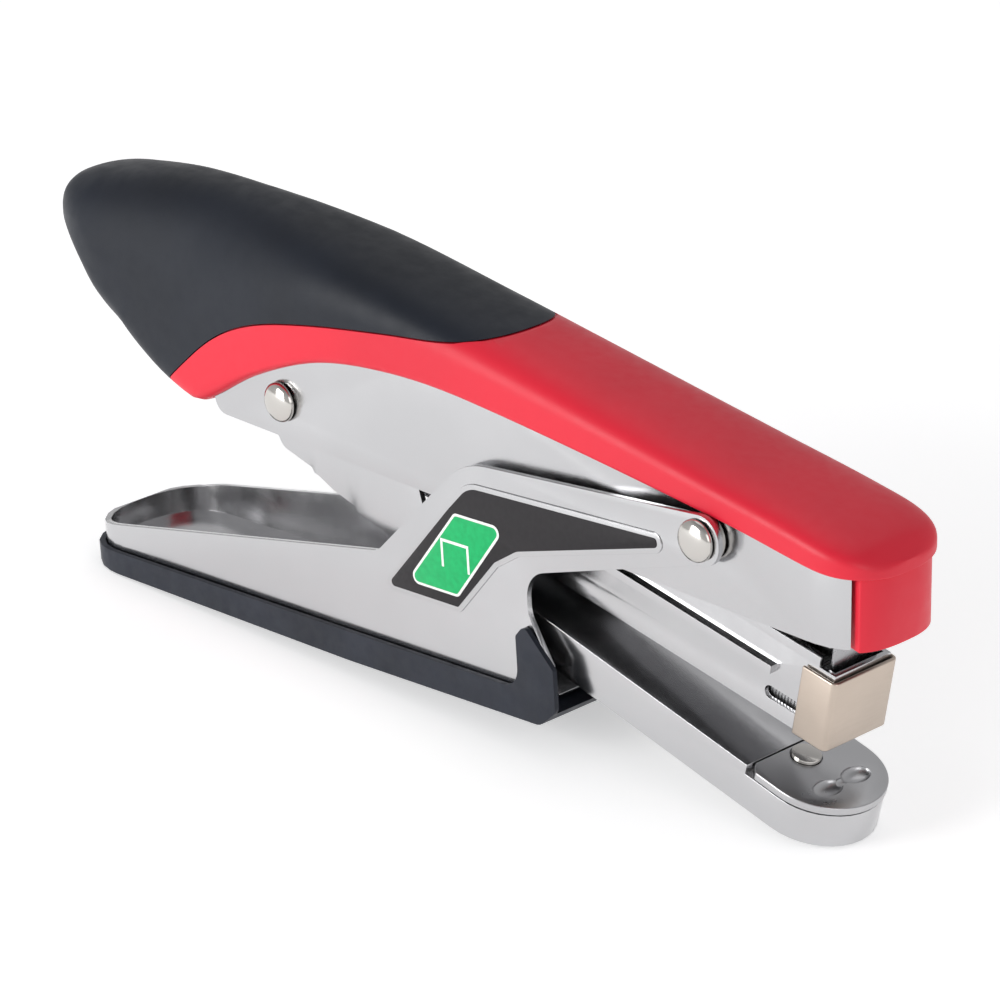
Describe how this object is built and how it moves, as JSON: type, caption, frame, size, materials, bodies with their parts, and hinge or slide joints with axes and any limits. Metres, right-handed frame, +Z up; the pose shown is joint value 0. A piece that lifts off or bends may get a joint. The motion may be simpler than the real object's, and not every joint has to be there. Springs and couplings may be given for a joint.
{
  "type": "plier stapler",
  "caption": "Hand-held plier stapler: a padded upper handle with a driver in its nose, a hinged staple magazine, an anvil arm with a clinch plate and a pressed-steel lower handle on a rubber base.",
  "frame": {"origin": "Middle of the overall length and width, on the plane that the stapler stands on, which touches the rear of the rubber base and the tip of the anvil arm.", "axes": "+X from the tail towards the nose, +Y to the left when looking towards the nose, +Z up. Rest pose: handles open, stapler standing on a bench."},
  "size_m": [0.2116, 0.033, 0.0808],
  "materials": {
    "cover_plastic": "satin red moulded plastic",
    "grip_rubber": "soft matte black overmoulding",
    "base_rubber": "matte dark grey",
    "chrome_plate": "bright chrome plating on pressed steel",
    "nickel_plate": "satin nickel plating, warm",
    "rivet_steel": "polished nickel",
    "anvil_steel": "ground, satin",
    "spring_steel": "bright spring steel",
    "screw_steel": "zinc plated",
    "staple_wire": "galvanised wire",
    "panel_print": "semi-gloss black print",
    "green_print": "semi-gloss green print"
  },
  "bodies": {
    "upper_handle": {"handle_cover": "cover_plastic", "grip_pad": "grip_rubber", "handle_channel": "chrome_plate", "rear_pivot_rivet": "rivet_steel", "return_spring": "spring_steel", "magazine_spring": "spring_steel", "driver_blade": "spring_steel", "driver_bracket": "chrome_plate", "cover_screw_1": "screw_steel", "cover_screw_2": "screw_steel", "front_pivot_rivet": "rivet_steel", "front_spacer_left": "rivet_steel", "front_spacer_right": "rivet_steel"},
    "lower_handle": {"lower_frame": "chrome_plate", "rubber_base": "base_rubber", "lift_strip": "spring_steel", "label_panel_left": "panel_print", "staple_label_left": "green_print", "label_panel_right": "panel_print", "staple_label_right": "green_print"},
    "clinch_arm": {"anvil_arm": "chrome_plate", "anvil_plate": "anvil_steel", "anvil_rivet": "rivet_steel"},
    "magazine": {"magazine_channel": "chrome_plate", "nose_block": "nickel_plate", "staple_core": "chrome_plate", "staple_strip": "staple_wire", "guide_rod": "spring_steel", "rear_stop": "chrome_plate", "follower_spring": "spring_steel"},
    "follower": {"staple_follower": "chrome_plate"}
  },
  "joints": [
    {"name": "handle_squeeze", "type": "hinge", "parent": "upper_handle", "child": "lower_handle", "pos_m": [0.07155, 0, 0.05246], "axis": [0, 1, 0], "range_deg": [0, 11.5], "stiffness_Nm_per_rad": 10, "springref_deg": -11.46},
    {"name": "arm_lift", "type": "hinge", "parent": "upper_handle", "child": "clinch_arm", "pos_m": [-0.03605, 0, 0.04716], "axis": [0, -1, 0], "range_deg": [0, 7.2], "deforming": ["return_spring"]},
    {"name": "magazine_lift", "type": "hinge", "parent": "upper_handle", "child": "magazine", "pos_m": [-0.03605, 0, 0.04716], "axis": [0, -1, 0], "range_deg": [0, 3.6], "deforming": ["magazine_spring"]},
    {"name": "follower_slide", "type": "slide", "parent": "magazine", "child": "follower", "axis": [0.9836, 0, -0.1805], "range_m": [-0.02, 0], "stiffness_N_per_m": 150, "springref_m": 0.03, "deforming": ["follower_spring"]}
  ],
  "couplings": [
    {"joint": "arm_lift", "follows": "handle_squeeze", "ratio": 0.626},
    {"joint": "magazine_lift", "follows": "handle_squeeze", "ratio": 0.313}
  ]
}
